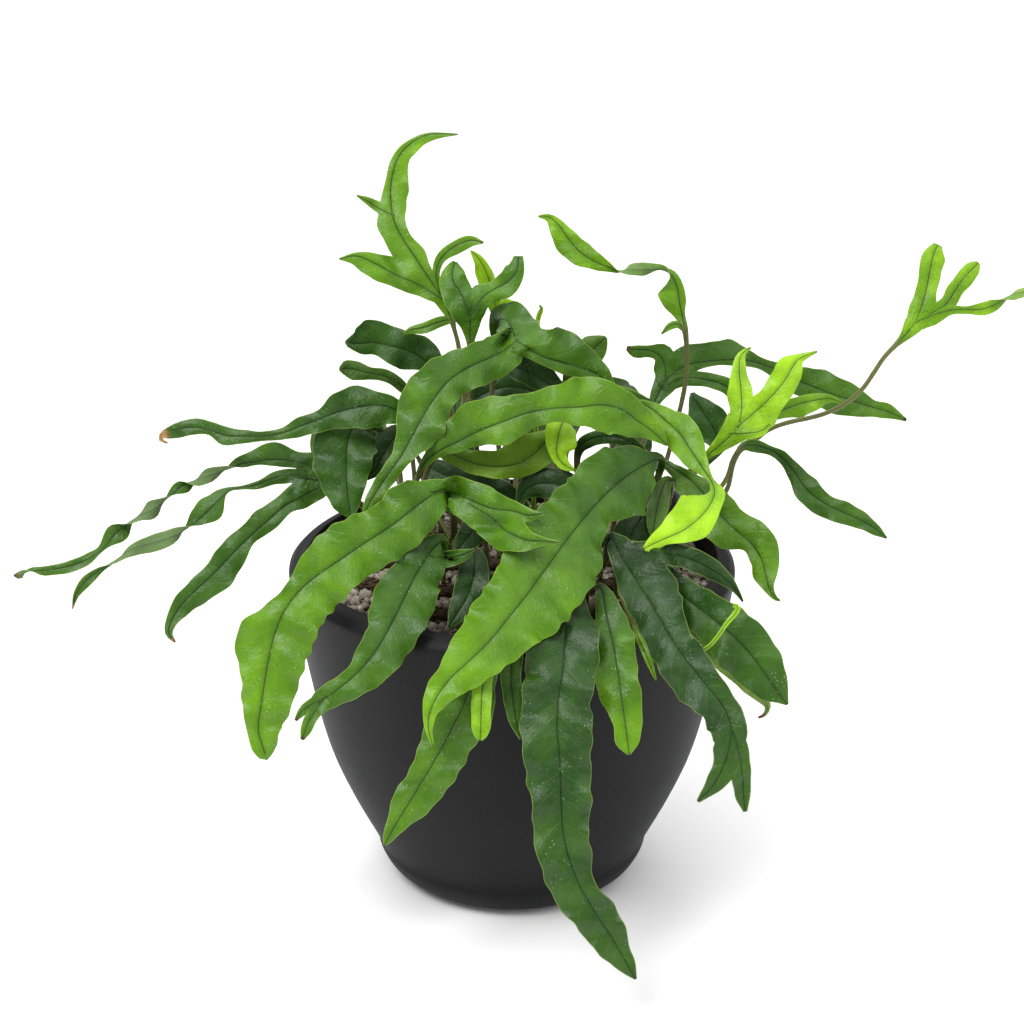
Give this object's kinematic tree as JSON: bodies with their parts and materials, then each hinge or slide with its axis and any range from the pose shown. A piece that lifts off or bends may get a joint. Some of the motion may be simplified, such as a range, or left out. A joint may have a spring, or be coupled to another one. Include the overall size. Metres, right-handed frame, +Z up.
{
  "type": "potted kangaroo paw fern",
  "caption": "Kangaroo paw fern with wavy, lobed leathery fronds arching out of a round matt planter filled with mineral grit.",
  "frame": {"origin": "centre of the planter's flat foot, on the surface it stands on", "axes": "+Z up along the planter's axis; -Y toward the viewer's side, where the long fronds hang over the rim; +X to the right as seen from there"},
  "size_m": [0.477, 0.3095, 0.3387],
  "materials": {
    "pot_plastic": "matt anthracite, smooth",
    "grit_mineral": "loose beige mineral grains",
    "rootstock_bark": "furry brown scales",
    "gauge_plastic": "matt dark plastic",
    "frond_dark": "leathery, deep green, satin sheen",
    "frond_shade": "leathery, bluish green, satin",
    "frond_mature": "leathery, mid green, glossy",
    "frond_olive": "leathery, olive green underside, satin",
    "frond_bright": "leathery, bright green, glossy",
    "frond_young": "young yellow-green leaf, glossy"
  },
  "bodies": {
    "root": {"pot": "pot_plastic", "grit": "grit_mineral", "rootstock_front": "rootstock_bark", "rootstock_middle": "rootstock_bark", "rootstock_centre": "rootstock_bark", "rootstock_rear": "rootstock_bark", "water_level_gauge": "gauge_plastic", "frond_crown_tall": "frond_young", "frond_crown_paw": "frond_dark", "frond_crown_pale": "frond_young", "frond_wave_left": "frond_dark", "frond_curl_left": "frond_olive", "frond_arch_front": "frond_mature", "frond_under_arch": "frond_dark", "frond_behind_arch": "frond_olive", "frond_sprout_tiny": "frond_young", "frond_centre_bright": "frond_bright", "frond_centre_olive": "frond_olive", "frond_centre_young": "frond_young", "frond_left_long": "frond_mature", "frond_left_hanging": "frond_dark", "frond_left_shadow": "frond_dark", "frond_left_paw": "frond_shade", "frond_front_left": "frond_bright", "frond_front_forked": "frond_mature", "frond_front_broad": "frond_bright", "frond_front_hanging": "frond_mature", "frond_front_strip": "frond_shade", "frond_front_low": "frond_mature", "frond_front_tongue": "frond_young", "frond_front_ribbon": "frond_bright", "frond_front_sliver": "frond_young", "frond_right_forked": "frond_shade", "frond_right_hanging": "frond_dark", "frond_right_under": "frond_olive", "frond_sprout_crozier": "frond_young", "frond_right_twisted": "frond_young", "frond_right_small": "frond_olive", "frond_right_drooping": "frond_mature", "frond_right_bright_paw": "frond_young", "frond_far_right": "frond_young", "frond_right_drop": "frond_shade", "frond_upper_right": "frond_shade", "frond_right_light": "frond_bright", "frond_right_shadow": "frond_dark", "frond_upper_twisted": "frond_bright", "frond_inner_low": "frond_dark", "frond_inner_left": "frond_dark", "frond_inner_right": "frond_shade", "frond_inner_back": "frond_dark", "frond_inner_arch": "frond_shade", "frond_inner_crown": "frond_dark", "frond_inner_middle": "frond_dark", "frond_inner_far_left": "frond_dark", "frond_back_left": "frond_dark", "frond_back_middle": "frond_mature", "frond_back_right": "frond_dark", "frond_back_paw": "frond_shade"}
  },
  "joints": []
}
